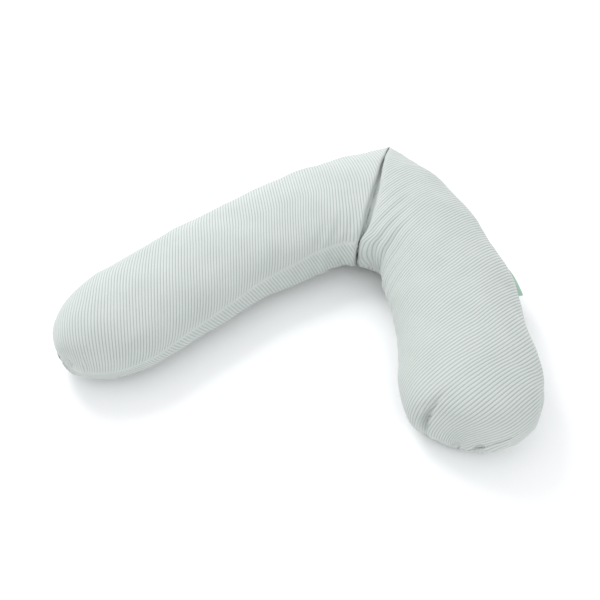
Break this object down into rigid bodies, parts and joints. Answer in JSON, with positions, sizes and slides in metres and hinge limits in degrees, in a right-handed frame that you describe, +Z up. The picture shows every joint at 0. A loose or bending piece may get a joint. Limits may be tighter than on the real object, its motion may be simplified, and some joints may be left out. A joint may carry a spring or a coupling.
{
  "type": "nursing pillow",
  "caption": "Long bead-filled nursing pillow in a pale sage corduroy cover, folded in the middle into a V, with rounded ends and a hidden side zip.",
  "frame": {"origin": "bottom centre of the object's bounding box, on the surface that the pillow lies on", "axes": "+Z up, +X along the box's longest side, from the long left arm to the right arm; the arms open towards -Y and the fold's outer corner points to +Y"},
  "size_m": [1.164, 1.0212, 0.1875],
  "materials": {
    "cover_corduroy": "wide-wale corduroy, pale sage, matt",
    "bag_cotton": "thin plain-weave cotton, undyed",
    "beads": "fine expanded-foam beads, white, matt",
    "zip_tape": "woven zip tape, dyed to match the cover",
    "zip_coil": "nylon coil",
    "zip_metal": "die-cast, painted",
    "label_ribbon": "woven satin ribbon, plain",
    "label_white": "printed-type satin ribbon, left blank"
  },
  "bodies": {
    "left_arm": {"bag_zip_coil_lower": "zip_coil", "bag_zip_coil_upper": "zip_coil", "bag_zip_end_stop": "zip_metal", "bag_zip_start_stop": "zip_metal", "bag_zip_tape_lower": "zip_tape", "bag_zip_tape_upper": "zip_tape", "bead_fill_fold": "beads", "bead_fill_left": "beads", "cover_bottom_fold": "cover_corduroy", "cover_bottom_left": "cover_corduroy", "cover_top_fold": "cover_corduroy", "cover_top_left": "cover_corduroy", "inner_bag_fold": "bag_cotton", "inner_bag_left": "bag_cotton", "zip_coil_lower": "zip_coil", "zip_coil_upper": "zip_coil", "zip_end_stop": "zip_metal", "zip_start_stop": "zip_metal", "zip_tape_lower": "zip_tape", "zip_tape_upper": "zip_tape"},
    "right_arm": {"cover_top_right": "cover_corduroy", "cover_bottom_right": "cover_corduroy", "inner_bag_right": "bag_cotton", "bead_fill_right": "beads", "side_label": "label_ribbon", "care_label": "label_white"},
    "zip_slider": {"zip_slider": "zip_metal"},
    "zip_pull": {"zip_pull": "zip_metal"},
    "bag_zip_slider": {"bag_zip_slider": "zip_metal"}
  },
  "joints": [
    {"name": "bend", "type": "hinge", "parent": "left_arm", "child": "right_arm", "pos_m": [0.07798, 0.51262, 0.088], "axis": [0, 0, 1], "range_deg": [-18, 55], "deforming": ["cover_top_fold", "cover_bottom_fold", "inner_bag_fold", "bead_fill_fold"]},
    {"name": "zip_travel", "type": "hinge", "parent": "left_arm", "child": "zip_slider", "pos_m": [1.36141, -1.33175, 0.088], "axis": [0, 0, 1], "range_deg": [0, 10.56]},
    {"name": "pull_swing", "type": "hinge", "parent": "zip_slider", "child": "zip_pull", "pos_m": [-0.30491, 0.10977, 0.088], "axis": [0.6543, 0.7563, 0], "range_deg": [-10, 170]},
    {"name": "bag_zip_travel", "type": "hinge", "parent": "left_arm", "child": "bag_zip_slider", "pos_m": [1.36141, -1.33175, 0.088], "axis": [0, 0, 1], "range_deg": [0, 6.35]}
  ]
}
